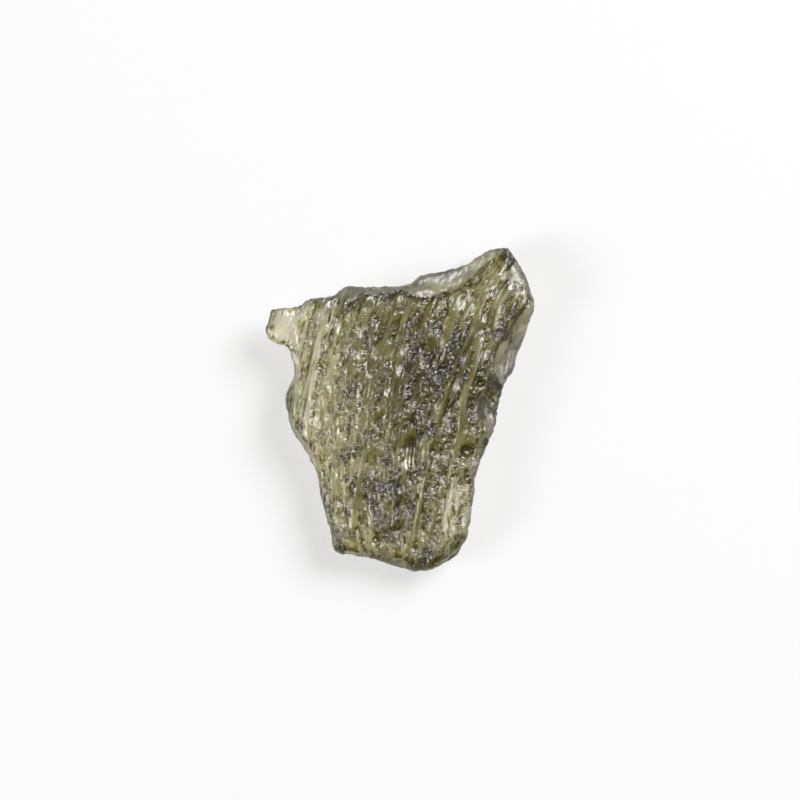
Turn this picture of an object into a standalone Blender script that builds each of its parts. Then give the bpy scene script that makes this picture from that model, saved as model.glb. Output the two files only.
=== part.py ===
"""Moldavite: a thumbnail-sized natural glass, one flat piece with a pitted, flow-striped skin.

It lies on a small flat spot of its underside. X runs right, Y runs up the long way of the stone and Z is up,
with the origin on the surface below the middle of its outline. Sizes are in millimetres until they reach a mesh.
"""

import math

import bmesh
import bpy
import numpy as np
from mathutils import Vector, noise

MM = 0.001

# Edge of the stone seen from above, clockwise from the tab at its upper left
OUTLINE = [
    (-10.3, 8.0), (-9.5, 8.0), (-8.0, 8.3), (-7.3, 8.7), (-5.4, 9.1), (-4.8, 9.6), (-3.6, 9.8), (-1.2, 9.8),
    (0.8, 10.0), (1.8, 10.7), (3.8, 11.1), (5.4, 11.8), (7.7, 12.9), (8.6, 12.9),
    (9.3, 12.0), (10.2, 10.5), (10.4, 9.3), (10.8, 8.4), (10.4, 7.0), (10.2, 6.3), (9.5, 4.6), (9.2, 3.5),
    (8.3, 2.0), (8.1, 1.2), (7.5, -1.8), (6.7, -3.5), (6.4, -4.5), (6.0, -5.4), (6.0, -6.4), (5.8, -7.4),
    (5.6, -9.2), (4.8, -11.4), (4.1, -12.1),
    (2.7, -12.7), (1.2, -13.0), (-0.6, -12.5), (-3.4, -11.7), (-4.6, -11.6), (-5.4, -11.0),
    (-5.5, -10.2), (-6.3, -7.2), (-6.7, -5.2), (-7.7, -3.0), (-8.6, -1.7), (-9.0, -0.2), (-9.0, 1.2),
    (-8.4, 2.8), (-8.7, 4.4), (-9.2, 5.2), (-10.1, 5.4), (-10.8, 6.1), (-10.6, 7.3),
]

# Soundings of the slab: x, y, height of the upper face, thickness there
SOUNDINGS = [
    (0.5, 1.0, 5.0, 5.3),
    (2.0, 7.0, 4.7, 4.4),
    (-4.0, 7.5, 4.7, 3.4),
    (-10.0, 6.8, 4.2, 0.9),
    (-7.8, 6.6, 4.4, 1.8),
    (-8.4, 0.2, 4.1, 1.8),
    (-5.6, 1.0, 4.6, 3.2),
    (-5.8, -6.0, 4.1, 2.3),
    (-4.6, -10.8, 3.8, 2.2),
    (-1.0, -6.0, 4.6, 4.5),
    (1.0, -12.0, 3.6, 2.6),
    (4.8, -9.0, 3.7, 2.1),
    (5.8, -3.0, 4.3, 3.4),
    (6.5, 2.0, 4.6, 4.0),
    (8.5, 7.5, 4.4, 3.5),
    (8.2, 11.8, 3.8, 2.6),
]
SOUNDING_REACH = 2.6

# Flat spot that the stone rests on: its middle, half width and half length, and how far it is pressed down
REST_SPOT = (0.6, 0.4, 3.4, 4.6)
REST_PRESS = 0.45
REST_CALM = 0.7

SLAB = 6.0
RIM = 0.9
RIM_SHARE = 0.45
TOP_ROLL = 1.1
UNDER_ROLL = 2.2
TOP_FALL_SHARE = 0.4

VOXEL = 0.2
FACES_KEPT = 0.14

# Relief is weaker on the edge seen from above, and where the glass is thinner than this
EDGE_RELIEF = 0.55
FULL_RELIEF_THICKNESS = 2.4

# Lean of the flow stripes: at the middle, its change across and its change up the stone
FLOW_LEAN = 0.2
FLOW_LEAN_ACROSS = 0.008
FLOW_LEAN_UP = 0.011

# Relief of the skin: width across the flow, length along it, height
STRIPES = (1.5, 9.0, 0.20)
FINE_STRIPES = (0.75, 6.0, 0.10)
PITS = (1.25, 1.9, 0.26)
SMALL_PITS = (0.75, 1.0, 0.12)
PIT_BARE_SHARE = 0.5
SKIN_LEVEL = 0.12

# Smooth lands that the pits leave alone: the stations of each one, and its half width
LANDS = [
    ([(8.7, 9.6), (8.0, 8.5), (7.4, 6.5)], 0.35),
    ([(6.9, 9.1), (6.0, 6.5), (4.6, 4.0), (4.0, 2.3), (3.0, -1.0)], 0.3),
    ([(6.4, 5.6), (6.0, 3.3), (5.1, 0.9), (4.8, -1.5), (4.6, -2.8)], 0.5),
    ([(2.3, -4.2), (1.5, -7.9), (1.0, -10.5)], 0.3),
    ([(-0.2, 8.6), (-1.2, 5.8), (-1.8, 4.5)], 0.3),
    ([(-5.7, 8.8), (-6.6, 5.5), (-7.4, 2.3), (-7.4, -2.2)], 0.4),
    ([(-2.8, -3.2), (-3.4, -6.4), (-3.7, -9.2)], 0.5),
]
LAND_HEIGHT = 0.12

# Single hollows and one lump of the upper face: x, y, half width, half length, depth
HOLLOWS = [
    (5.4, -3.3, 0.55, 0.55, 0.6),
    (0.9, -3.0, 0.9, 1.4, 0.35),
    (6.5, 2.1, 0.5, 0.4, 0.45),
    (8.4, 11.7, 0.5, 0.8, 0.4),
    (-1.9, -10.4, 0.4, 0.5, 0.4),
    (-3.0, -10.3, 0.7, 0.5, -0.3),
]

# Smooth chips struck off the edge, as ellipsoids: name, centre, half sizes, turn about Z in degrees
CHIPS = [
    ("chip_top", (5.2, 13.2, 6.5), (6.2, 4.1, 4.1), 24),
    ("chip_top_left", (0.3, 12.9, 6.2), (3.6, 4.0, 3.6), 6),
    ("chip_right", (11.6, 4.2, 6.5), (4.4, 5.6, 4.4), -21),
    ("chip_dark", (8.9, -0.2, 5.6), (3.2, 2.7, 3.1), -12),
    ("chip_dark_low", (8.0, -3.8, 4.9), (2.2, 2.3, 2.2), -16),
    ("chip_corner", (5.3, -12.7, 5.1), (2.8, 3.0, 2.7), 40),
    ("chip_foot", (-1.2, -13.9, 4.7), (4.8, 2.4, 2.5), -15),
    ("chip_left", (-8.2, -5.6, 5.1), (2.1, 4.2, 2.4), 18),
    ("chip_tab", (-8.6, 10.2, 5.8), (3.6, 2.6, 2.6), 12),
]
CHIP_SEGMENTS = 40
CHIP_RINGS = 24
CHIP_WAVE = (1.2, 0.3)

# Floor that levels the flat spot: how far it reaches out and down
FLOOR_REACH = 16.0
FLOOR_DEPTH = 4.0

GLASS_COLOUR = (0.20, 0.19, 0.09, 1.0)
GLASS_ROUGHNESS = 0.12
GLASS_IOR = 1.49
GLASS_CLEARNESS = 0.8


def clear_scene():
    for obj in list(bpy.data.objects):
        bpy.data.objects.remove(obj)


def new_collection(name):
    collection = bpy.data.collections.new(name)
    bpy.context.scene.collection.children.link(collection)
    return collection


def outline_curve():
    """The stone's outline as a flat, smooth, closed curve with the slab's thickness."""
    curve = bpy.data.curves.new("outline", "CURVE")
    curve.dimensions = "2D"
    curve.fill_mode = "BOTH"
    curve.resolution_u = 5
    curve.extrude = SLAB / 2 * MM
    spline = curve.splines.new("BEZIER")
    spline.bezier_points.add(len(OUTLINE) - 1)
    spline.use_cyclic_u = True
    for bezier, (x, y) in zip(spline.bezier_points, OUTLINE):
        bezier.co = (x * MM, y * MM, 0)
        bezier.handle_left_type = "AUTO"
        bezier.handle_right_type = "AUTO"
    return curve


def slab_mesh():
    """The curve as one closed mesh: its caps are welded to its walls."""
    carrier = bpy.data.objects.new("outline", outline_curve())
    bpy.context.scene.collection.objects.link(carrier)
    bpy.context.view_layer.update()
    evaluated = carrier.evaluated_get(bpy.context.evaluated_depsgraph_get())
    mesh = bpy.data.meshes.new_from_object(evaluated)
    bpy.data.objects.remove(carrier)
    body = bmesh.new()
    body.from_mesh(mesh)
    bmesh.ops.remove_doubles(body, verts=body.verts, dist=0.001 * MM)
    bmesh.ops.recalc_face_normals(body, faces=body.faces)
    body.to_mesh(mesh)
    body.free()
    return mesh


def apply_modifier(obj, kind, **settings):
    """Adds one modifier and applies it."""
    modifier = obj.modifiers.new(kind.title(), kind)
    for name, value in settings.items():
        setattr(modifier, name, value)
    with bpy.context.temp_override(object=obj, active_object=obj):
        bpy.ops.object.modifier_apply(modifier=modifier.name)


def points_of(mesh):
    flat = np.empty(len(mesh.vertices) * 3, np.float32)
    mesh.vertices.foreach_get("co", flat)
    return flat.reshape(-1, 3).astype(np.float64) / MM


def normals_of(mesh):
    flat = np.empty(len(mesh.vertices) * 3, np.float32)
    mesh.vertex_normals.foreach_get("vector", flat)
    return flat.reshape(-1, 3).astype(np.float64)


def put_points(mesh, points):
    mesh.vertices.foreach_set("co", (points * MM).astype(np.float32).ravel())
    mesh.update()


def distance_to_line(x, y, stations, closed=False):
    """Shortest way in plan from each point to a run of straight pieces through the stations."""
    ends = stations[1:] + stations[:1] if closed else stations[1:]
    best = np.full(x.shape, np.inf)
    for (ax, ay), (bx, by) in zip(stations, ends):
        length_squared = (bx - ax) ** 2 + (by - ay) ** 2
        share = np.clip(((x - ax) * (bx - ax) + (y - ay) * (by - ay)) / length_squared, 0, 1)
        best = np.minimum(best, np.hypot(x - ax - share * (bx - ax), y - ay - share * (by - ay)))
    return best


def soundings_at(x, y):
    """Height of the upper face and thickness, blended between the soundings."""
    weight_sum = np.zeros_like(x)
    top = np.zeros_like(x)
    thickness = np.zeros_like(x)
    for sx, sy, height, thick in SOUNDINGS:
        weight = np.exp(-((x - sx) ** 2 + (y - sy) ** 2) / (2 * SOUNDING_REACH**2)) + 1e-9
        weight_sum += weight
        top += weight * height
        thickness += weight * thick
    return top / weight_sum, thickness / weight_sum


def rest_spot_share(x, y):
    """1 in the middle of the flat spot, fading to 0 outside it."""
    middle_x, middle_y, half_width, half_length = REST_SPOT
    return np.exp(-((((x - middle_x) / half_width) ** 2 + ((y - middle_y) / half_length) ** 2) ** 2))


def rolled(inset, width):
    """1 at the very edge, falling to 0 at this width from it along a quarter round."""
    share = np.clip(inset / width, 0, 1)
    return 1 - np.sqrt(1 - (1 - share) ** 2)


def shape_slab(mesh):
    """Gives the even slab its lens-like section: thin and raised on the left, rolled over at its edge."""
    points = points_of(mesh)
    x, y, z = points.T
    inset = distance_to_line(x, y, OUTLINE, closed=True)
    top, thickness = soundings_at(x, y)
    rim = np.minimum(RIM, RIM_SHARE * thickness)
    lost = thickness - rim
    under = top - thickness + rolled(inset, UNDER_ROLL) * lost * (1 - TOP_FALL_SHARE)
    under -= REST_PRESS * rest_spot_share(x, y)
    over = top - rolled(inset, TOP_ROLL) * lost * TOP_FALL_SHARE
    share = z / SLAB + 0.5
    put_points(mesh, np.column_stack([x, y, under + share * (over - under)]))


def flow_place(x, y, z):
    """Place across the flow, along it and through the stone, so that stripes run straight in it."""
    across = x - (FLOW_LEAN + FLOW_LEAN_ACROSS * x) * y - FLOW_LEAN_UP * y**2
    return across, y, z


def stripes(place, width, length, height):
    across, along, up = place
    return height * noise.noise(Vector((across / width, along / length, up / width)))


def pits(place, width, length, depth):
    """Round-bottomed cups that meet in sharp crests."""
    across, along, up = place
    nearest = noise.voronoi(Vector((across / width, along / length, up / width)))[0][0]
    return -depth * max(0.0, 1 - (nearest / 0.6) ** 2)


def skin_relief(x, y, z, land):
    """How far the skin stands out at one place, for a share 0 to 1 of smooth land there."""
    place = flow_place(x, y, z)
    bare = PIT_BARE_SHARE * max(0.0, noise.noise(Vector((place[0] / 2.5, place[1] / 7.0, place[2] / 3.0))))
    pitted = (1 - land) * (1 - bare)
    raised = stripes(place, *STRIPES) + stripes(place, *FINE_STRIPES)
    sunk = pits(place, *PITS) + pits(place, *SMALL_PITS)
    return raised + pitted * sunk + LAND_HEIGHT * land


def land_share(x, y):
    share = np.zeros_like(x)
    for stations, half_width in LANDS:
        away = distance_to_line(x, y, stations)
        share = np.maximum(share, np.exp(-((away / half_width) ** 2)))
    return share


def hollow_depth(x, y):
    depth = np.zeros_like(x)
    for hx, hy, half_width, half_length, deep in HOLLOWS:
        depth += deep * np.exp(-(((x - hx) / half_width) ** 2) - ((y - hy) / half_length) ** 2)
    return depth


def carve_skin(mesh):
    """Moves each point of the skin along its normal by the relief of the glass."""
    points = points_of(mesh)
    normals = normals_of(mesh)
    x, y, z = points.T
    thickness = soundings_at(x, y)[1]
    up_facing = np.clip(normals[:, 2], 0, 1)
    down_facing = np.clip(-normals[:, 2], 0, 1)
    land = land_share(x, y) * up_facing
    strength = EDGE_RELIEF + (1 - EDGE_RELIEF) * np.abs(normals[:, 2])
    strength *= np.minimum(1, thickness / FULL_RELIEF_THICKNESS)
    strength *= 1 - REST_CALM * rest_spot_share(x, y) * down_facing
    relief = np.array([skin_relief(*row, share) for row, share in zip(points, land)])
    relief = (relief + SKIN_LEVEL) * strength - hollow_depth(x, y) * up_facing
    put_points(mesh, points + normals * relief[:, None])


def glass_material():
    material = bpy.data.materials.new("moldavite_glass")
    material.use_nodes = True
    shader = material.node_tree.nodes["Principled BSDF"]
    shader.inputs["Base Color"].default_value = GLASS_COLOUR
    shader.inputs["Roughness"].default_value = GLASS_ROUGHNESS
    shader.inputs["Metallic"].default_value = 0.0
    shader.inputs["IOR"].default_value = GLASS_IOR
    shader.inputs["Transmission Weight"].default_value = GLASS_CLEARNESS
    return material


def as_cutter(obj, collection):
    for owner in list(obj.users_collection):
        owner.objects.unlink(obj)
    collection.objects.link(obj)
    obj.hide_render = True
    obj.display_type = "WIRE"
    return obj


def chip_cutter(name, centre, half_sizes, turn, collection):
    """An ellipsoid with a slightly wavy skin, so that it leaves a shell-like break and not a scoop."""
    bpy.ops.mesh.primitive_uv_sphere_add(segments=CHIP_SEGMENTS, ring_count=CHIP_RINGS, radius=MM)
    obj = bpy.context.object
    obj.name = name
    wave_width, wave_height = CHIP_WAVE
    for vertex in obj.data.vertices:
        outward = vertex.co.normalized()
        spot = Vector(outward[i] * half_sizes[i] + centre[i] for i in range(3))
        reach = 1 + wave_height * noise.noise(spot / wave_width) / min(half_sizes)
        vertex.co = Vector(outward[i] * half_sizes[i] * reach * MM for i in range(3))
    obj.location = Vector(centre) * MM
    obj.rotation_euler.z = math.radians(turn)
    return as_cutter(obj, collection)


def floor_cutter(collection):
    bpy.ops.mesh.primitive_cube_add(size=1, location=(0, 0, -FLOOR_DEPTH / 2 * MM))
    obj = bpy.context.object
    obj.name = "floor_under_stone"
    obj.scale = (2 * FLOOR_REACH * MM, 2 * FLOOR_REACH * MM, FLOOR_DEPTH * MM)
    return as_cutter(obj, collection)


def cut(obj, cutter):
    modifier = obj.modifiers.new(cutter.name, "BOOLEAN")
    modifier.operation = "DIFFERENCE"
    modifier.solver = "EXACT"
    modifier.object = cutter


def make_moldavite(parts, cutters):
    stone = bpy.data.objects.new("moldavite", slab_mesh())
    parts.objects.link(stone)
    apply_modifier(stone, "REMESH", mode="VOXEL", voxel_size=VOXEL * MM)
    shape_slab(stone.data)
    apply_modifier(stone, "REMESH", mode="VOXEL", voxel_size=VOXEL * MM)
    carve_skin(stone.data)
    apply_modifier(stone, "DECIMATE", ratio=FACES_KEPT)
    for name, centre, half_sizes, turn in CHIPS:
        cut(stone, chip_cutter(name, centre, half_sizes, turn, cutters))
    cut(stone, floor_cutter(cutters))
    stone.data.materials.clear()
    stone.data.materials.append(glass_material())
    return stone


clear_scene()
moldavite = make_moldavite(new_collection("moldavite"), new_collection("cutters"))
bpy.context.view_layer.update()
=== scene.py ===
# %% [markdown]
# # A raw moldavite
#
# The object is one thumbnail-sized piece of natural glass, olive green where light passes through it. Its
# skin was etched in the ground: cups and grooves crowd along the lines in which the melt once flowed, and
# smooth strips lie between them. This lesson dresses the plain solid of the stone with that skin and with
# clear, absorbing glass, and lights it from two soft boxes over a pale floor, as the photograph shows it.

# %% Load the frame
import math

import bpy
import numpy as np
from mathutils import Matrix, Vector, noise


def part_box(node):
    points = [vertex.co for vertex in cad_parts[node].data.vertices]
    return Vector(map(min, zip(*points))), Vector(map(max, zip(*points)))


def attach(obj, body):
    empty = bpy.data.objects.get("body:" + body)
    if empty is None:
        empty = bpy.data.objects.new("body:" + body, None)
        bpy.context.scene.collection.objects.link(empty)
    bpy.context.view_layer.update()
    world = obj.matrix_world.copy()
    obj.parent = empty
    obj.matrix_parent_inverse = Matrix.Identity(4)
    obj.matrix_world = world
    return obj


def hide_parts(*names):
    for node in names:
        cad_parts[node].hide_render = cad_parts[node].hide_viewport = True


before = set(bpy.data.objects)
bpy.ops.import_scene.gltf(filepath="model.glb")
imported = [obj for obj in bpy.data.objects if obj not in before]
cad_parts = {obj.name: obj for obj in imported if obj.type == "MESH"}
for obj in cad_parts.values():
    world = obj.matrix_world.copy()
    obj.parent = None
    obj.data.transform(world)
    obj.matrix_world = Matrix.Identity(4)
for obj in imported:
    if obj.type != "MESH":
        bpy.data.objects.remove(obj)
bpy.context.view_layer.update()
stone_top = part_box("moldavite")[1].z
MM = 0.001

# %% [markdown]
# ## Camera
#
# The photograph looks straight down, from far enough away that the stone shows no perspective. A long lens
# at 45 cm does the same. The frame is 64 mm wide at the stone's upper face, and the stone lies a little
# above the middle of it, so the camera is aimed at a point just below the stone's own middle.

# %% Add the camera
FRAME_WIDTH = 64.0 * MM
CAMERA_HEIGHT = 0.45
AIM = Vector((0.0, 0.75 * MM, 0.0))
SENSOR_WIDTH = 36.0
camera_data = bpy.data.cameras.new("overhead_camera")
camera_data.sensor_width = SENSOR_WIDTH
camera_data.lens = SENSOR_WIDTH * (CAMERA_HEIGHT - stone_top) / FRAME_WIDTH
camera = bpy.data.objects.new("overhead_camera", camera_data)
camera.location = AIM + Vector((0, 0, CAMERA_HEIGHT))
bpy.context.scene.collection.objects.link(camera)
bpy.context.scene.camera = camera
print("lens", round(camera_data.lens, 1), "mm")

# %% [markdown]
# ## Floor
#
# Clear glass shows what lies behind it, so the floor matters more than it does under an opaque thing. It is
# a wide, almost white sheet of paper. It lies a hair's breadth below the stone, because two faces at
# exactly the same height would fight over which one light meets first.
#
# The paper gives most of its brightness by itself and takes only a little from the lamps. Lamps strong
# enough to strike sparks from the glass would burn out a truly white sheet. With this balance the sheet
# stays just below white, and the soft shadows on it still come from the lamps.

# %% Add the floor
FLOOR_SIDE = 3.0
FLOOR_GAP = 0.02 * MM
PAPER = (0.11, 0.11, 0.11, 1.0)
PAPER_ROUGHNESS = 0.9
PAPER_GLOSS = 0.1
PAPER_GLOW = 0.575
WHITE = (1.0, 1.0, 1.0, 1.0)


def add_floor():
    bpy.ops.object.select_all(action="DESELECT")
    bpy.ops.mesh.primitive_plane_add(size=FLOOR_SIDE, location=(0, 0, -FLOOR_GAP))
    floor = bpy.context.object
    floor.name = "paper_floor"
    material = bpy.data.materials.new("paper")
    material.use_nodes = True
    shader = material.node_tree.nodes["Principled BSDF"]
    shader.inputs["Base Color"].default_value = PAPER
    shader.inputs["Roughness"].default_value = PAPER_ROUGHNESS
    shader.inputs["Specular IOR Level"].default_value = PAPER_GLOSS
    shader.inputs["Emission Color"].default_value = WHITE
    shader.inputs["Emission Strength"].default_value = PAPER_GLOW
    floor.data.materials.append(material)
    return floor


floor = add_floor()
print("floor", floor.name, FLOOR_SIDE, "m")

# %% [markdown]
# ## Two soft boxes
#
# The shadows in the photograph tell where the light came from. A dark soft shadow to the lower left belongs
# to a soft box at the upper right, about 48 degrees up. A fainter and longer one to the right belongs to a
# low box at the left. Both are placed by their turn about the stone and their rise above the floor. Small
# bright boxes make crisp sparks on the skin. Large ones would spread a grey veil over its dark places.

# %% Add the boxes
BOXES = {
    "box_upper_right": {"turn": 38, "rise": 48, "away": 0.6, "side": 0.32, "radiance": 40.0},
    "box_left": {"turn": 196, "rise": 34, "away": 0.6, "side": 0.22, "radiance": 40.0},
}


def add_box(name, turn, rise, away, side, radiance):
    light = bpy.data.lights.new(name, "AREA")
    light.shape = "SQUARE"
    light.size = side
    light.energy = radiance * math.pi * side**2
    obj = bpy.data.objects.new(name, light)
    turn, rise = math.radians(turn), math.radians(rise)
    towards = Vector((math.cos(rise) * math.cos(turn), math.cos(rise) * math.sin(turn), math.sin(rise)))
    obj.location = towards * away
    obj.rotation_euler = towards.to_track_quat("Z", "Y").to_euler()
    bpy.context.scene.collection.objects.link(obj)
    return obj


for name, values in BOXES.items():
    print("light", add_box(name, **values).name)

# %% [markdown]
# ## The room
#
# The rest is even light from the room. It is dimmer straight above, where the camera is, and that keeps the
# dark places of the glass dark, because a level face mirrors what is overhead. The room and, later, the
# glass are small networks of nodes, so two helpers come first: one fills a socket with a value or a link,
# and the other turns one range of values into another.

# %% Helpers for nodes
def fill(tree, socket, value):
    """Link the socket to another one, or set its value."""
    if isinstance(value, bpy.types.NodeSocket):
        tree.links.new(value, socket)
    else:
        socket.default_value = value


def ranged(tree, value, low, high, start=0.0, end=1.0, curve="SMOOTHSTEP"):
    """The value from low to high, turned into one from start to end."""
    node = tree.nodes.new("ShaderNodeMapRange")
    node.interpolation_type = curve
    names = ("Value", "From Min", "From Max", "To Min", "To Max")
    for name, given in zip(names, (value, low, high, start, end)):
        fill(tree, node.inputs[name], given)
    return node.outputs["Result"]


print("helpers", fill.__name__, ranged.__name__)

# %% Add the room's even light
OVERHEAD_LIGHT = 0.04
ROOM_LIGHT = 0.29
OVERHEAD_ENDS = (0.93, 0.5)


def add_room():
    world = bpy.data.worlds.new("studio")
    bpy.context.scene.world = world
    world.use_nodes = True
    tree = world.node_tree
    direction = tree.nodes.new("ShaderNodeTexCoord")
    parts = tree.nodes.new("ShaderNodeSeparateXYZ")
    tree.links.new(direction.outputs["Generated"], parts.inputs["Vector"])
    strength = ranged(tree, parts.outputs["Z"], *OVERHEAD_ENDS, OVERHEAD_LIGHT, ROOM_LIGHT)
    tree.links.new(strength, tree.nodes["Background"].inputs["Strength"])
    tree.nodes["Background"].inputs["Color"].default_value = WHITE
    return world


print("room", add_room().name)

# %% [markdown]
# ## Light inside the glass
#
# Light that enters the stone is thrown to and fro before it leaves. With few bounces the deep places would
# turn black for no good reason, so many are allowed. A limit on very bright indirect light keeps stray
# white dots out.

# %% Let light bounce often enough
LIGHT_BOUNCES = 32
INDIRECT_LIMIT = 12
settings = bpy.context.scene.cycles
settings.max_bounces = LIGHT_BOUNCES
settings.glossy_bounces = LIGHT_BOUNCES
settings.transmission_bounces = LIGHT_BOUNCES
settings.sample_clamp_indirect = INDIRECT_LIMIT
bpy.context.scene.view_settings.view_transform = "Standard"
print("bounces", settings.max_bounces)

# %% [markdown]
# ## The body of the glass
#
# The frame already holds the stone as a faceted solid, with its outline, its lens-like section and its
# struck edges. A copy of it is merged, because its triangles are loose, and rebuilt as an even net of small
# squares that can carry fine relief. Blender's voxel remesh has a smallest cell of a tenth of a millimetre
# in metres, so the copy is worked on a thousand times larger, one unit to the millimetre, and brought back
# at the end.

# %% Copy and merge the solid
MERGE = 0.0001


def select_only(obj):
    bpy.ops.object.select_all(action="DESELECT")
    obj.select_set(True)
    bpy.context.view_layer.objects.active = obj


def scale_mesh(mesh, factor):
    mesh.transform(np.diag([factor, factor, factor, 1.0]).tolist())


def copy_of_solid():
    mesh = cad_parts["moldavite"].data.copy()
    scale_mesh(mesh, 1 / MM)
    stone = bpy.data.objects.new("moldavite_glass", mesh)
    bpy.context.scene.collection.objects.link(stone)
    select_only(stone)
    bpy.ops.object.mode_set(mode="EDIT")
    bpy.ops.mesh.select_all(action="SELECT")
    bpy.ops.mesh.remove_doubles(threshold=MERGE)
    bpy.ops.mesh.delete_loose()
    bpy.ops.object.mode_set(mode="OBJECT")
    return stone


stone = copy_of_solid()
print("merged solid", len(stone.data.vertices), "points")

# %% Round off the facets
COARSE_CELL = 0.16
SOFTEN_SHARE = 0.5
SOFTEN_STEPS = 5
FINE_CELL = 0.075


def apply_modifier(obj, kind, **values):
    select_only(obj)
    modifier = obj.modifiers.new(kind.title(), kind)
    for name, value in values.items():
        setattr(modifier, name, value)
    bpy.ops.object.modifier_apply(modifier=modifier.name)


apply_modifier(stone, "REMESH", mode="VOXEL", voxel_size=COARSE_CELL)
apply_modifier(stone, "SMOOTH", factor=SOFTEN_SHARE, iterations=SOFTEN_STEPS)
apply_modifier(stone, "REMESH", mode="VOXEL", voxel_size=FINE_CELL)
print("even net", len(stone.data.vertices), "points")

# %% [markdown]
# ## The points of the net
#
# Everything that follows asks where a point lies and which way the skin faces there. The levelness is 1 on
# a level face and 0 on an upright one. The share that faces up is 0 on walls and on the whole underside.

# %% Read the points of the net
def read_points(mesh):
    flat = np.empty(len(mesh.vertices) * 3, np.float32)
    mesh.vertices.foreach_get("co", flat)
    return flat.reshape(-1, 3).astype(float)


def read_normals(mesh):
    flat = np.empty(len(mesh.vertices) * 3, np.float32)
    mesh.vertex_normals.foreach_get("vector", flat)
    return flat.reshape(-1, 3).astype(float)


UP_STEEPNESS = 1.5
points, normals = read_points(stone.data), read_normals(stone.data)
levelness = np.abs(normals[:, 2])
up_facing = np.clip(normals[:, 2] * UP_STEEPNESS, 0, 1)
print("share of the net that faces up", round(float((up_facing > 0).mean()), 2))

# %% [markdown]
# ## Where the melt flowed
#
# Every groove and strip of the skin follows the flow of the melt, which leans to the right towards the top
# of the stone and stands upright at its foot. One formula turns a place in the stone into a place across
# the flow, along it and through the stone. Patterns drawn in those terms run along the flow by themselves.

# %% Flow places
FLOW_LEAN = 0.2
FLOW_LEAN_ACROSS = 0.008
FLOW_LEAN_UP = 0.011


def flow_places(points):
    x, y, z = points.T
    across = x - (FLOW_LEAN + FLOW_LEAN_ACROSS * x) * y - FLOW_LEAN_UP * y**2
    return np.column_stack([across, y, z])


places = flow_places(points)
print("across the flow", places[:, 0].min().round(1), "to", places[:, 0].max().round(1), "mm")

# %% [markdown]
# ## Two patterns
#
# Two patterns make most of the skin. One is smooth noise. The other is a field of round-bottomed cups, which
# are deepest in their middles and meet in crests. Each has a width across the flow, a length along it, in
# millimetres, and a shift that keeps patterns of like size from lining up.

# %% Noise and cups
CUP_ROUNDNESS = 1.4
CUP_REACH = 0.62


def stretched(width, length, shift):
    return Vector((1 / width, 1 / length, 1 / width)), Vector((shift, shift, shift))


def wavy(places, width, length, shift=0.0):
    """Smooth noise from -1 to 1."""
    scale, offset = stretched(width, length, shift)
    return np.array([noise.noise(Vector(p) * scale + offset) for p in places])


def cups(places, width, length, shift):
    """Cups, 1 in their middles and 0 at the crests where they meet."""
    scale, offset = stretched(width, length, shift)
    near = np.array([noise.voronoi(Vector(p) * scale + offset)[0][0] for p in places])
    return np.clip(1 - (near / CUP_REACH) ** CUP_ROUNDNESS, 0, 1)


def eased(value, low, high):
    """0 below low, 1 above high and soft between them."""
    share = np.clip((value - low) / (high - low), 0, 1)
    return share * share * (3 - 2 * share)


print("noise at the first points", wavy(places[:3], 1.0, 1.0).round(2))

# %% [markdown]
# ## Smooth strips
#
# Between the grooves a few strips of the old skin stayed smooth, and light passes straight through them.
# Each is given by the stations that it passes, in millimetres from the middle of the stone, and by its half
# width. A few stations are enough for a strip, and every strip can be moved by hand later. Three more
# strips are whitish, because their skin is finely cracked.

# %% List the strips
LANDS = [
    ([(8.7, 9.6), (8.0, 8.5), (7.4, 6.5)], 0.20),
    ([(6.9, 9.1), (6.0, 6.5), (4.6, 4.0), (4.0, 2.3), (3.0, -1.0)], 0.15),
    ([(6.4, 5.6), (6.0, 3.3), (5.1, 0.9), (4.8, -1.5), (4.6, -2.8)], 0.26),
    ([(2.3, -4.2), (1.5, -7.9), (1.0, -10.5)], 0.15),
    ([(-0.2, 8.6), (-1.2, 5.8), (-1.8, 4.5)], 0.15),
    ([(-5.7, 8.8), (-6.6, 5.5), (-7.4, 2.3), (-7.4, -2.2)], 0.21),
    ([(-2.8, -3.2), (-3.4, -6.4), (-3.7, -9.2)], 0.27),
]
WHITE_STRIPS = [
    ([(-5.95, 8.9), (-6.55, 5.6), (-6.95, 2.8), (-7.35, 0.8), (-7.45, -1.0)], 0.24),
    ([(-5.2, 8.4), (-5.8, 6.2), (-6.2, 4.6)], 0.12),
    ([(4.4, -5.6), (4.1, -7.2), (3.6, -9.6)], 0.26),
]
print("smooth strips", len(LANDS), "whitish strips", len(WHITE_STRIPS))

# %% Find the strips on the skin
STRIP_SHARPNESS = 4


def distance_to_line(points, stations):
    x, y = points[:, 0], points[:, 1]
    best = np.full(len(points), np.inf)
    for (ax, ay), (bx, by) in zip(stations, stations[1:]):
        length_squared = (bx - ax) ** 2 + (by - ay) ** 2
        share = np.clip(((x - ax) * (bx - ax) + (y - ay) * (by - ay)) / length_squared, 0, 1)
        best = np.minimum(best, np.hypot(x - ax - share * (bx - ax), y - ay - share * (by - ay)))
    return best


def strip_share(strips):
    """1 in the middle of a strip, fading out at its sides, on the upper face alone."""
    share = np.zeros(len(points))
    for stations, half_width in strips:
        from_middle = distance_to_line(points, stations) / half_width
        share = np.maximum(share, np.exp(-(from_middle**STRIP_SHARPNESS)))
    return share * up_facing


land, white_strips = strip_share(LANDS), strip_share(WHITE_STRIPS)
for name, share in {"smooth": land, "whitish": white_strips}.items():
    print("share of the net in", name, "strips", round(float(share.mean()), 3))
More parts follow.
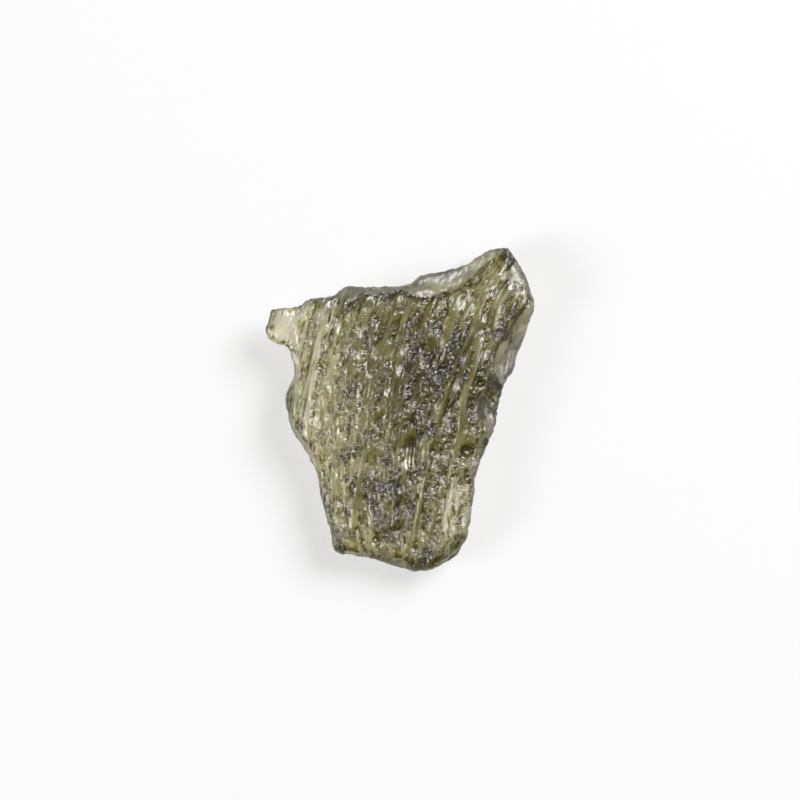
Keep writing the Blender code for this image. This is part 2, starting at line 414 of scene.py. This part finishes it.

# %% [markdown]
# ## Struck faces
#
# The edge was chipped after the etching, so its faces have no cups, only the faint ripples of broken glass.
# Each face is an outline seen from above, with a painted shade from 0 to 1: 0 is a face whitened by fine
# cracks, with no painted shade, and 1 is a face painted dark grey, a painted shade that stands in for the
# light lost inside it. The outlines wander a little by noise, because no break follows a ruler. The skin
# that ends beside a struck face gets a painted shade along a narrow brim, a painted shadow line that makes
# a chip readable from above.

# %% List the struck faces
STRUCK = {
    "upper right margin": (0.4, [
        (9.3, 11.9), (9.0, 11.2), (8.2, 10.9), (8.4, 10.4), (9.0, 10.4), (9.7, 10.0),
        (10.1, 9.7), (10.5, 9.1), (11.0, 8.8), (10.4, 11.2), (9.6, 12.2),
    ]),
    "right point": (0.2, [(10.4, 8.6), (10.2, 8.0), (9.8, 7.4), (10.4, 7.1), (11.2, 7.6), (11.2, 8.8)]),
    "big right face, upper part": (0.2, [
        (10.1, 7.9), (9.5, 7.2), (9.1, 6.4), (8.9, 5.7), (9.6, 4.6), (10.4, 5.2), (11.0, 7.8),
    ]),
    "big right face, inner strip": (0.0, [
        (8.9, 5.7), (8.2, 5.4), (7.9, 4.8), (7.7, 4.0), (7.5, 3.2), (7.8, 2.5),
        (8.2, 1.6), (8.8, 2.0), (8.4, 2.7), (8.2, 4.0), (8.6, 4.9),
    ]),
    "big right face, lower part": (0.35, [
        (9.0, 5.4), (8.6, 4.8), (8.2, 3.8), (8.4, 2.6), (9.3, 2.0), (10.0, 4.4), (9.6, 5.2),
    ]),
    "dark face under it": (1.0, [
        (7.6, 3.1), (7.4, 2.6), (7.2, 2.0), (7.2, 1.6), (7.8, 1.4), (8.5, 1.6), (8.2, 1.9), (7.9, 2.4),
    ]),
    "hollow": (1.0, [
        (6.7, 1.2), (6.2, 0.8), (6.0, 0.4), (5.9, -0.2), (6.2, -0.7),
        (6.6, -0.9), (7.1, -0.9), (7.4, -0.2), (7.3, 0.5), (7.0, 1.0),
    ]),
    "margin under the hollow": (0.45, [
        (6.6, -0.9), (6.9, -1.4), (7.0, -2.0), (7.2, -2.6), (8.0, -2.5), (7.8, -1.2), (7.4, -0.2),
    ]),
    "right notch": (0.5, [(6.2, -4.0), (5.9, -4.5), (5.5, -5.1), (5.8, -5.6), (6.9, -5.6), (7.0, -4.0)]),
    "lower right margin": (0.4, [
        (5.3, -7.9), (5.0, -8.7), (5.2, -9.6), (5.7, -10.0), (6.4, -9.9), (6.4, -7.6),
    ]),
    "lower right corner": (0.6, [
        (5.0, -10.4), (4.7, -11.1), (4.2, -11.6), (3.6, -12.0),
        (2.9, -12.4), (2.9, -13.2), (5.0, -13.0), (5.8, -11.2),
    ]),
    "foot, middle": (0.6, [
        (-0.2, -11.9), (0.3, -12.2), (0.8, -12.6), (0.8, -13.3), (-0.4, -13.0), (-1.2, -12.5),
    ]),
    "foot, left": (0.55, [
        (-4.4, -11.4), (-3.7, -11.5), (-2.9, -11.5), (-2.4, -12.0),
        (-1.2, -12.2), (-1.2, -13.0), (-4.4, -12.7),
    ]),
    "lower left corner": (0.7, [
        (-5.5, -9.8), (-5.2, -10.1), (-5.1, -10.8), (-5.4, -11.2), (-6.2, -11.1), (-6.0, -9.6),
    ]),
    "left margin": (0.2, [
        (-7.8, -2.4), (-7.4, -2.9), (-7.0, -3.4), (-6.7, -4.0), (-6.6, -4.8),
        (-6.4, -5.8), (-6.4, -6.7), (-7.4, -6.4), (-8.3, -3.6), (-8.5, -2.4),
    ]),
    "left margin, foot": (0.2, [(-6.2, -7.6), (-5.9, -8.2), (-5.8, -8.9), (-6.7, -8.8), (-6.7, -7.2)]),
    "left bulge": (0.25, [
        (-8.9, -0.2), (-8.6, -0.8), (-8.3, -1.6), (-7.8, -2.3), (-8.4, -2.8), (-9.8, -1.2), (-9.6, 0.0),
    ]),
    "left notch": (0.2, [
        (-9.3, 5.2), (-8.7, 4.6), (-8.2, 4.2), (-8.0, 3.3), (-8.2, 2.5),
        (-8.6, 2.0), (-9.1, 1.4), (-9.9, 1.6), (-9.6, 4.8),
    ]),
    "top, left": (0.3, [
        (-5.3, 9.0), (-4.6, 8.8), (-4.0, 8.7), (-3.2, 8.9),
        (-3.0, 9.5), (-3.2, 10.0), (-3.6, 10.8), (-5.8, 9.9),
    ]),
    "top, middle": (0.0, [
        (-3.2, 10.0), (-2.9, 9.5), (-2.5, 9.2), (-1.7, 9.3), (-1.0, 9.4), (-0.2, 9.6),
        (0.3, 9.8), (1.0, 10.0), (1.5, 10.4), (1.5, 11.8), (-3.2, 11.2),
    ]),
    "top, slope up to the peak": (0.0, [
        (3.0, 9.4), (4.4, 9.7), (5.6, 10.5), (6.4, 11.3), (7.4, 12.1), (8.2, 12.6),
        (8.4, 13.3), (6.4, 13.0), (5.4, 12.5), (4.2, 11.8), (3.0, 11.4),
    ]),
    "left edge of the tab": (0.8, [
        (-10.9, 8.0), (-10.3, 8.2), (-10.3, 7.6), (-10.45, 7.0),
        (-10.55, 6.2), (-10.4, 5.6), (-11.0, 5.4), (-11.2, 7.0),
    ]),
    "top, right": (0.0, [
        (0.2, 9.6), (1.0, 10.0), (1.5, 10.4), (1.9, 11.2), (3.2, 11.5),
        (3.8, 11.0), (3.8, 10.0), (3.2, 9.2), (2.2, 9.1), (1.1, 9.2),
    ]),
}
print(len(STRUCK), "struck faces, from", list(STRUCK)[0], "to", list(STRUCK)[-1])

# %% Find the struck faces on the skin
STRUCK_EDGE = 0.04
STRUCK_LOWEST_NORMAL = -0.3
STRUCK_WANDER = 0.12
WANDER = {"width": 0.4, "length": 0.4, "shift": 6.1}
CHIP_SHADE_VARIATION = 0.6
CHIP_SHADE_SPOTS = {"width": 0.3, "length": 0.7, "shift": 8.8}
BRIM_WIDTH = 0.22


def inside_by(outline):
    """How far each point lies inside an outline seen from above, negative outside it."""
    x, y = points[:, 0], points[:, 1]
    inside = np.zeros(len(points), bool)
    closed = outline + outline[:1]
    for (ax, ay), (bx, by) in zip(closed, closed[1:]):
        if ay != by:
            inside ^= ((ay > y) != (by > y)) & (x < ax + (y - ay) * (bx - ax) / (by - ay))
    away = distance_to_line(points, closed)
    return np.where(inside, away, -away)


def struck_faces():
    """How struck each point is, the painted shade of its struck face, and how near a brim of skin it is."""
    wander = STRUCK_WANDER * wavy(points, **WANDER)
    chip, chip_shade, brim = np.zeros((3, len(points)))
    for face_shade, outline in STRUCK.values():
        inside = inside_by(outline) + wander
        share = eased(inside, -STRUCK_EDGE, STRUCK_EDGE) * (normals[:, 2] > STRUCK_LOWEST_NORMAL)
        brim = np.maximum(brim, np.exp(-(((inside + BRIM_WIDTH) / BRIM_WIDTH) ** 2)))
        chip_shade += (face_shade - chip_shade) * share
        chip = np.maximum(chip, share)
    # The painted shade of each struck face varies a little by noise.
    chip_shade = np.clip(chip_shade + CHIP_SHADE_VARIATION * wavy(places, **CHIP_SHADE_SPOTS), 0, 1)
    return chip, chip_shade, brim * (1 - chip) * np.clip(normals[:, 2], 0, 1)


chip, chip_shade, brim = struck_faces()
print("struck share of the skin", round(float(chip.mean()), 2))

# %% [markdown]
# ## Pits and places
#
# The skin isn't the same everywhere. Four pits stand alone and are given as bowls: their middle, half width
# and half length, and depth, and their bottoms get painted shade. The rest are soft round places, each with
# a middle, a reach and a share: where the cups get more or less painted shade, where the skin gets a broad
# painted shade, where the skin is calm, and where it is drawn out in fine lines, pale on their ridges and
# with painted shade in their grooves. A share below zero takes painted shade out of the cups.

# %% List the pits and places
PITS = [
    ((5.36, -3.33), (0.62, 0.58), 0.34),
    ((0.92, -2.97), (0.85, 1.3), 0.2),
    ((6.5, 2.1), (0.42, 0.3), 0.3),
    ((-1.9, -10.4), (0.34, 0.3), 0.25),
]
CUP_SHADE_ELSEWHERE = 0.65
CUP_SHADE_PLACES = [
    ((9.2, 7.8), 1.0, 0.8),
    ((8.4, 6.2), 0.8, 0.8),
    ((5.0, 3.6), 2.2, 1.2),
    ((2.4, -3.2), 3.0, 0.7),
    ((-1.2, -7.2), 3.0, 0.7),
    ((-5.0, -11.0), 1.0, 0.6),
    ((-8.8, 0.8), 1.0, 0.8),
    ((-4.4, 9.1), 1.5, 0.5),
    ((8.2, 11.8), 1.0, 0.4),
    ((9.0, 9.6), 1.0, 0.4),
    ((2.4, -12.0), 1.6, 0.5),
    ((-5.0, -5.6), 1.8, 0.5),
    ((-4.6, -8.6), 1.5, 0.4),
    ((-6.8, 3.0), 2.4, -0.4),
    ((4.9, -8.2), 2.2, -0.4),
]
BROAD_SHADE_PLACES = [
    ((0.8, 2.6), 4.6, 0.25),
    ((5.2, 3.8), 2.0, 0.2),
    ((-0.6, -7.8), 3.4, 0.2),
    ((-1.6, 7.4), 2.6, 0.1),
    ((-8.9, 0.8), 0.9, 0.15),
    ((9.2, 7.8), 0.9, 0.2),
    ((8.4, 6.0), 0.8, 0.3),
    ((-5.2, -10.9), 0.6, 0.3),
    ((1.6, -12.4), 1.3, 0.35),
    ((4.8, -10.9), 0.9, 0.25),
    ((8.6, 9.9), 1.2, 0.15),
    ((6.8, 7.4), 2.4, 0.12),
    ((8.6, 12.0), 0.35, 0.6),
    ((8.9, 11.3), 0.3, 0.5),
    ((7.9, 11.4), 0.2, 0.4),
]
CALM = [((-9.6, 6.6), 1.5, 1.0), ((-7.4, -4.8), 1.2, 1.0), ((-1.0, 4.6), 0.9, 1.0)]
LINED = [
    ((-6.6, 6.6), 1.7, 1.0),
    ((-7.2, 3.6), 1.7, 1.0),
    ((-7.4, 0.4), 1.5, 1.0),
    ((-6.8, -2.4), 1.2, 0.6),
    ((4.2, -7.4), 1.5, 0.9),
    ((3.8, -9.6), 1.2, 0.7),
    ((7.6, 8.6), 1.6, 0.6),
    ((6.0, 5.6), 1.6, 0.4),
]
print("pits", len(PITS), "cup_shade_share", len(CUP_SHADE_PLACES), "broad_shade", len(BROAD_SHADE_PLACES), "calm", len(CALM), "lined", len(LINED))

# %% Find the pits and places on the skin
PIT_WOBBLE = 0.5
PIT_SHAPE = {"width": 0.5, "length": 0.5, "shift": 2.3}
PIT_BOWL = 0.7


def spots(round_places):
    """The share of each round place at each point, one row for each place."""
    x, y = points[:, 0], points[:, 1]
    return [
        share * np.exp(-((x - middle[0]) ** 2 + (y - middle[1]) ** 2) / reach**2)
        for middle, reach, share in round_places
    ]


def pit_depth():
    depth = np.zeros(len(points))
    wobble = 1 + PIT_WOBBLE * wavy(points, **PIT_SHAPE)
    for (x, y), (half_width, half_length), deepest in PITS:
        away = ((points[:, 0] - x) / half_width) ** 2 + ((points[:, 1] - y) / half_length) ** 2
        depth = np.maximum(depth, deepest * np.clip(1 - away * wobble, 0, 1) ** PIT_BOWL)
    return depth * up_facing


# Painted shade: the cups' shade is stronger or weaker by place, and broad places get painted shade of their
# own.
cup_shade_share = CUP_SHADE_ELSEWHERE + sum(spots(CUP_SHADE_PLACES))
broad_shade = sum(spots(BROAD_SHADE_PLACES))
calm = np.max(spots(CALM), axis=0)
lined = np.clip(sum(spots(LINED)), 0, 1) * up_facing * (1 - chip)
pit = pit_depth()
print("deepest single pit", pit.max().round(2), "mm")

# %% [markdown]
# ## The etched skin
#
# Acid in the ground ate the glass in cups. Large cups about a millimetre across are already in the solid
# and are only sharpened here. Inside them sit smaller ones, crowded in patches that are drawn out along the
# flow. A cup is deepest in the middle and meets its neighbours in a sharp crest, which is what breaks the
# light into sparks. Strips, struck faces, calm places and single pits have no cups.

# %% Patches and fine lines
PATCHES = {"width": 0.5, "length": 1.3, "shift": 7.3}
PATCH_EDGE = (-0.14, 0.1)
FINE_LANDS = {"width": 0.3, "length": 7.0, "shift": 4.2}
FINE_LAND_EDGE = (0.22, 0.34)
LINES = {"width": 0.17, "length": 5.0, "shift": 2.7}
STRIP_LINE_EDGE = (0.1, 0.4)
patches = eased(wavy(places, **PATCHES), *PATCH_EDGE)
fine_lands = eased(wavy(places, **FINE_LANDS), *FINE_LAND_EDGE)
lines = wavy(places, **LINES)
white_strips *= 1 - eased(-lines, *STRIP_LINE_EDGE)
land = np.maximum(land, white_strips)
pitted = (1 - np.maximum(land, fine_lands)) * (1 - chip) * (1 - calm) * (pit == 0)
print("pitted share of the skin", round(float(pitted.mean()), 2))

# %% Cups of three sizes
# Each size has a depth in millimetres and a painted shade that it adds to the tint.
CUP_SIZES = [
    {"width": 1.15, "length": 1.5, "shift": 0.0, "depth": 0.16, "outside_patches": 0.2, "painted_shade": 0.5},
    {"width": 0.43, "length": 0.5, "shift": 3.1, "depth": 0.13, "outside_patches": 0.25, "painted_shade": 0.6},
    {"width": 0.28, "length": 0.22, "shift": 5.7, "depth": 0.06, "outside_patches": 0.5, "painted_shade": 0.4},
]
cup_depth, cup_shade = np.zeros(len(points)), np.zeros(len(points))
for size in CUP_SIZES:
    share = size["outside_patches"] + (1 - size["outside_patches"]) * patches
    cup = share * cups(places, size["width"], size["length"], size["shift"])
    cup_depth += cup * size["depth"]
    cup_shade += size["painted_shade"] * cup
print("deepest cup", cup_depth.max().round(2), "mm")

# %% [markdown]
# ## From patterns to a relief
#
# The relief is one height for every point, in millimetres, the sum of all that lies on the skin. Long lines
# run along the flow. Struck faces lie a step lower than the skin and carry ripples. The upright edge gets a
# rougher relief of its own, so that the outline looks broken and not cut out. Then each point moves along
# its normal by its height, less on the edge and least on the spot where the stone rests, and none may sink
# below the level that it rests on.

# %% Add up the relief
LAND_RISE = 0.03
LINE_RELIEF = 0.05
FLOW_LINES = [
    {"width": 0.75, "length": 6.0, "shift": 1.9},
    {"width": 0.2, "length": 5.0, "shift": 9.4},
]
FLOW_LINE_RELIEF = 0.06
SKIN_LEVEL = 0.06
SKIN_STEP = 0.08
RIPPLES = {"width": 0.25, "length": 1.6}
CRUMBS = {"width": 0.22, "length": 0.22, "shift": 3.3}
CRUMB_SHARE = 0.5
RIPPLE_RELIEF = 0.045
RIM_LEVELS = (0.5, 0.25)
COARSE_JAGS = {"width": 0.45, "length": 0.45, "shift": 5.2}
FINE_JAGS = {"width": 0.2, "length": 0.2, "shift": 1.2}
JAG_RELIEF = 0.11
FINE_JAG_SHARE = 0.6
relief = -pitted * cup_depth
relief += LAND_RISE * land - pit + LINE_RELIEF * lined * lines
for line in FLOW_LINES:
    relief += (1 - chip) * wavy(places, **line) * FLOW_LINE_RELIEF
ripples = wavy(places, **RIPPLES) + CRUMB_SHARE * wavy(points, **CRUMBS)
relief += SKIN_LEVEL + chip * (ripples * RIPPLE_RELIEF - SKIN_STEP)
rim = eased(-levelness, -RIM_LEVELS[0], -RIM_LEVELS[1])
fine_jags = FINE_JAG_SHARE * JAG_RELIEF * wavy(points, **FINE_JAGS)
relief += rim * (JAG_RELIEF * wavy(points, **COARSE_JAGS) + fine_jags)
print("relief from", relief.min().round(2), "to", relief.max().round(2), "mm")

# %% Move the points
EDGE_RELIEF = 0.7
REST_SPOT = {"middle": (0.6, 0.4), "half_sizes": (3.4, 4.6)}
REST_CALM = 0.8


def rest_share():
    (middle_x, middle_y), (half_width, half_length) = REST_SPOT["middle"], REST_SPOT["half_sizes"]
    away = ((points[:, 0] - middle_x) / half_width) ** 2 + ((points[:, 1] - middle_y) / half_length) ** 2
    return np.exp(-(away**2)) * np.clip(-normals[:, 2], 0, 1)


strength = (EDGE_RELIEF + (1 - EDGE_RELIEF) * levelness) * (1 - REST_CALM * rest_share())
moved = points + normals * (relief * strength)[:, None]
moved[:, 2] = np.maximum(moved[:, 2], 0)
stone.data.vertices.foreach_set("co", moved.astype(np.float32).ravel())
stone.data.update()
print("points moved by up to", np.abs(relief * strength).max().round(2), "mm")

# %% [markdown]
# ## What the glass has to know
#
# The same sums say how grainy and how struck each point is, and how much painted shade it gets, which is
# kept under the name depth. They are kept on the points, and the glass reads them later, so that colour and
# shape always agree. The flow places are kept too, because the finest grain is drawn by the material along
# the same flow.

# %% Keep the values on the points
PIT_FULL_SHADE_DEPTH = 0.3
PIT_SHADE = 0.8
BRIM_SHADE = 0.65
BRIM_SPOTS = {"width": 0.3, "length": 0.3}
BRIM_LEAST = 0.6
LINE_SHADE = 0.4
DARK_LINE_EDGE = (0.12, 0.4)
LINE_WHITE = 0.6
WHITE_LINE_EDGE = (0.08, 0.3)
RIM_WHITE = 0.6
GRAIN_OUTSIDE_PATCHES = 0.45
STRUCK_GRAIN = 0.4


def keep_on_points(mesh, name, values, kind="FLOAT"):
    field = "vector" if kind == "FLOAT_VECTOR" else "value"
    mesh.attributes.new(name, kind, "POINT").data.foreach_set(field, values.astype(np.float32).ravel())


# Painted shade, kept as depth: in the cups, in the bottoms of single pits, in broad places, along the brims
# of struck faces and in the grooves of fine lines.
depth = pitted * np.clip(cup_shade, 0, 1) * cup_shade_share
depth = np.maximum(depth, np.clip(pit / PIT_FULL_SHADE_DEPTH, 0, 1) * PIT_SHADE)
depth += (1 - land) * (broad_shade + BRIM_SHADE * brim * (BRIM_LEAST + wavy(places, **BRIM_SPOTS)))
depth += LINE_SHADE * lined * eased(-lines, *DARK_LINE_EDGE)
grain = pitted * (GRAIN_OUTSIDE_PATCHES + (1 - GRAIN_OUTSIDE_PATCHES) * patches)
grain = np.maximum(grain, STRUCK_GRAIN * chip)
white_lines = LINE_WHITE * lined * eased(lines, *WHITE_LINE_EDGE)
struck = np.maximum.reduce([chip, RIM_WHITE * rim, white_lines, white_strips * (1 - chip)])
for name, values in {"pitted": grain, "depth": depth, "struck": struck, "chip_shade": chip_shade}.items():
    keep_on_points(stone.data, name, values)
    print("kept", name, "mean", round(float(values.mean()), 2))
keep_on_points(stone.data, "flow", flow_places(read_points(stone.data)), "FLOAT_VECTOR")

# %% [markdown]
# ## A lighter net
#
# The stone rests on its underside, so few will look at it closely, while every spark on top needs its
# triangles. The modifier that thins out the net listens to a group of points: it prefers those with a high
# weight. The underside has the full weight and the rest has half of it, so the top keeps most of its
# detail.

# %% Thin out the net
FACES_WANTED = 190_000
DOWN_FACING = -0.1
UNDERSIDE_WEIGHT = 1.0
TOP_WEIGHT = 0.5
WEIGHT_INFLUENCE = 0.02
weights = stone.vertex_groups.new(name="thin_out")
facing_down = read_normals(stone.data)[:, 2] < DOWN_FACING
weights.add(np.flatnonzero(facing_down).tolist(), UNDERSIDE_WEIGHT, "REPLACE")
weights.add(np.flatnonzero(~facing_down).tolist(), TOP_WEIGHT, "REPLACE")
triangles = 2 * len(stone.data.polygons)
ratio = min(1.0, FACES_WANTED / triangles)
apply_modifier(stone, "DECIMATE", ratio=ratio, vertex_group="thin_out", vertex_group_factor=WEIGHT_INFLUENCE)
stone.vertex_groups.clear()
scale_mesh(stone.data, MM)
stone.data.shade_smooth()
print("skin", len(stone.data.polygons), "faces")

# %% [markdown]
# ## The finest grain
#
# Some cups are too small even for this net. A bump in the material draws them, and also very fine streaks
# along the flow. The same node group gives the painted shade of a place: the kept painted shade, random
# darker specks in the pitted skin, and painted shade in the low parts of the streaks. It is a group with
# named sockets, so its few inputs and outputs can be read at a glance.

# %% Build the grain
GRAIN_WIDTHS = (0.17, 0.13, 0.17)
SPECK_WIDTHS = (0.2, 0.3, 0.2)
SPECK_EDGE = (0.6, 0.4)
SPECK_SHADE = 0.3
STREAK_WIDTHS = (0.1, 4.5, 0.6)
STREAK_DETAIL = 2.0
STREAK_EDGE = (0.5, 0.3)
STREAK_RELIEF = 0.9
STREAK_SHADE = 0.35
SHADE_ENDS = (0.12, 0.75)


def maths(tree, operation, *values):
    node = tree.nodes.new("ShaderNodeMath")
    node.operation = operation
    for socket, value in zip(node.inputs, values):
        fill(tree, socket, value)
    return node.outputs["Value"]


def texture(tree, kind, places, widths):
    """A texture whose cells have these widths in millimetres."""
    stretch = tree.nodes.new("ShaderNodeVectorMath")
    stretch.operation = "DIVIDE"
    fill(tree, stretch.inputs[0], places)
    fill(tree, stretch.inputs[1], widths)
    node = tree.nodes.new(kind)
    fill(tree, node.inputs["Scale"], 1.0)
    fill(tree, node.inputs["Vector"], stretch.outputs["Vector"])
    return node


def etch_grain_and_shade():
    tree = bpy.data.node_groups.new("etch_grain_and_shade", "ShaderNodeTree")
    tree.interface.new_socket("Flow", in_out="INPUT", socket_type="NodeSocketVector")
    for name in ("Pitted", "Depth"):
        tree.interface.new_socket(name, in_out="INPUT", socket_type="NodeSocketFloat")
    for name in ("Height", "Shade"):
        tree.interface.new_socket(name, in_out="OUTPUT", socket_type="NodeSocketFloat")
    given = tree.nodes.new("NodeGroupInput").outputs
    result = tree.nodes.new("NodeGroupOutput").inputs
    cells = texture(tree, "ShaderNodeTexVoronoi", given["Flow"], GRAIN_WIDTHS)
    specks = texture(tree, "ShaderNodeTexNoise", given["Flow"], SPECK_WIDTHS)
    streaks = texture(tree, "ShaderNodeTexNoise", given["Flow"], STREAK_WIDTHS)
    fill(tree, streaks.inputs["Detail"], STREAK_DETAIL)
    cup = maths(tree, "MULTIPLY", cells.outputs["Distance"], given["Pitted"])
    fill(tree, result["Height"], maths(tree, "MULTIPLY_ADD", streaks.outputs["Fac"], STREAK_RELIEF, cup))
    # Painted shade: the kept value, random darker specks, and the low parts of the streaks.
    speck = maths(tree, "MULTIPLY", ranged(tree, specks.outputs["Fac"], *SPECK_EDGE), given["Pitted"])
    shade = maths(tree, "MULTIPLY_ADD", speck, SPECK_SHADE, given["Depth"])
    streak = ranged(tree, streaks.outputs["Fac"], *STREAK_EDGE)
    shade = maths(tree, "MULTIPLY_ADD", streak, STREAK_SHADE, shade)
    fill(tree, result["Shade"], ranged(tree, shade, *SHADE_ENDS))
    return tree


grain_group = etch_grain_and_shade()
print("group", grain_group.name, "with", len(grain_group.nodes), "nodes")

# %% [markdown]
# ## Tints, gloss and haze
#
# The surface of the glass is colourless, but light that enters a steep cup is thrown sideways through much
# more glass, which the net can't follow down to the smallest cups. A painted shade in the tint stands in for
# that lost light: none on the smooth skin, a strong olive on the slopes and nearly black in the bottoms.
# Struck faces are whitened by cracks too fine to see. They get a second, rough gloss over the glass,
# strongest where they have the least painted shade, and their painted shade is grey and not olive.

# %% Mix the tints, the gloss and the haze
LAND_TINT = (0.98, 0.94, 1.0, 1.0)
# Painted shade: the slope and pit tints darken the glass where light is lost in the cups.
SLOPE_SHADE_TINT = (0.33, 0.28, 0.03, 1.0)
SLOPE_SHADE = 0.5
PIT_SHADE_TINT = (0.035, 0.028, 0.0015, 1.0)
PALE_TINT = (1.0, 0.97, 1.0, 1.0)
# Painted shade: the grey that dark struck faces are painted with.
CHIP_SHADE_TINT = (0.05, 0.047, 0.06, 1.0)
LAND_ROUGHNESS = 0.31
PIT_ROUGHNESS = 0.28
STRUCK_ROUGHNESS = 0.43


def kept(tree, name, output="Fac"):
    """The value that was kept on the points under this name."""
    node = tree.nodes.new("ShaderNodeAttribute")
    node.attribute_name = name
    return node.outputs[output]


def mixed_colour(tree, first, second, share):
    node = tree.nodes.new("ShaderNodeMix")
    node.data_type = "RGBA"
    for name, value in (("A", first), ("B", second), ("Factor", share)):
        fill(tree, node.inputs[name], value)
    return node.outputs["Result"]


def skin_tint_and_shade(tree, shade):
    etched = tree.nodes.new("ShaderNodeValToRGB")
    etched.color_ramp.elements[0].color = LAND_TINT
    etched.color_ramp.elements[1].color = PIT_SHADE_TINT
    etched.color_ramp.elements.new(SLOPE_SHADE).color = SLOPE_SHADE_TINT
    fill(tree, etched.inputs["Fac"], shade)
    struck_shaded_tint = mixed_colour(tree, PALE_TINT, CHIP_SHADE_TINT, kept(tree, "chip_shade"))
    return mixed_colour(tree, etched.outputs["Color"], struck_shaded_tint, kept(tree, "struck"))


def skin_roughness(tree):
    etched = ranged(tree, kept(tree, "pitted"), 0.0, 1.0, LAND_ROUGHNESS, PIT_ROUGHNESS, "LINEAR")
    return ranged(tree, kept(tree, "struck"), 0.0, 1.0, etched, STRUCK_ROUGHNESS, "LINEAR")


def crack_haze(tree):
    paleness = maths(tree, "SUBTRACT", 1.0, kept(tree, "chip_shade"))
    return maths(tree, "MULTIPLY", paleness, kept(tree, "struck"))


print("slope tint", SLOPE_SHADE_TINT[:3], "pit tint", PIT_SHADE_TINT[:3])

# %% [markdown]
# ## Glass
#
# Moldavite is clear glass with a little iron in it, and its olive green comes from the depth of glass that
# light crosses. So the surface shader is plain transmission, and a volume shader with one colour and one
# density takes away more blue than green or red for every millimetre: thin margins look pale and the thick
# middle dark.

# %% Make the glass
GLASS_IOR = 1.49
ABSORB_COLOUR = (0.59, 0.565, 0.09, 1.0)
ABSORB_DENSITY = 455.0
HAZE_ROUGHNESS = 0.6
HAZE_IOR = 1.55
GRAIN_DEPTH = 0.05 * MM


def make_glass():
    material = bpy.data.materials.new("moldavite_glass")
    material.use_nodes = True
    tree = material.node_tree
    grain = tree.nodes.new("ShaderNodeGroup")
    grain.node_tree = grain_group
    fill(tree, grain.inputs["Flow"], kept(tree, "flow", "Vector"))
    fill(tree, grain.inputs["Pitted"], kept(tree, "pitted"))
    fill(tree, grain.inputs["Depth"], kept(tree, "depth"))
    bump = tree.nodes.new("ShaderNodeBump")
    bump.inputs["Distance"].default_value = GRAIN_DEPTH
    fill(tree, bump.inputs["Height"], grain.outputs["Height"])
    shader = tree.nodes["Principled BSDF"]
    shader.inputs["IOR"].default_value = GLASS_IOR
    shader.inputs["Transmission Weight"].default_value = 1.0
    shader.inputs["Coat Roughness"].default_value = HAZE_ROUGHNESS
    shader.inputs["Coat IOR"].default_value = HAZE_IOR
    fill(tree, shader.inputs["Base Color"], skin_tint_and_shade(tree, grain.outputs["Shade"]))
    fill(tree, shader.inputs["Roughness"], skin_roughness(tree))
    fill(tree, shader.inputs["Coat Weight"], crack_haze(tree))
    fill(tree, shader.inputs["Normal"], bump.outputs["Normal"])
    absorption = tree.nodes.new("ShaderNodeVolumeAbsorption")
    absorption.inputs["Color"].default_value = ABSORB_COLOUR
    absorption.inputs["Density"].default_value = ABSORB_DENSITY
    fill(tree, tree.nodes["Material Output"].inputs["Volume"], absorption.outputs["Volume"])
    return material


stone.data.materials.clear()
stone.data.materials.append(make_glass())
print("glass", stone.data.materials[0].name)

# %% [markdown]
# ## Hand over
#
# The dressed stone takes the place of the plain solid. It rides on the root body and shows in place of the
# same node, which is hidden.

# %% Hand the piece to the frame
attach(stone, "root")
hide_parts("moldavite")
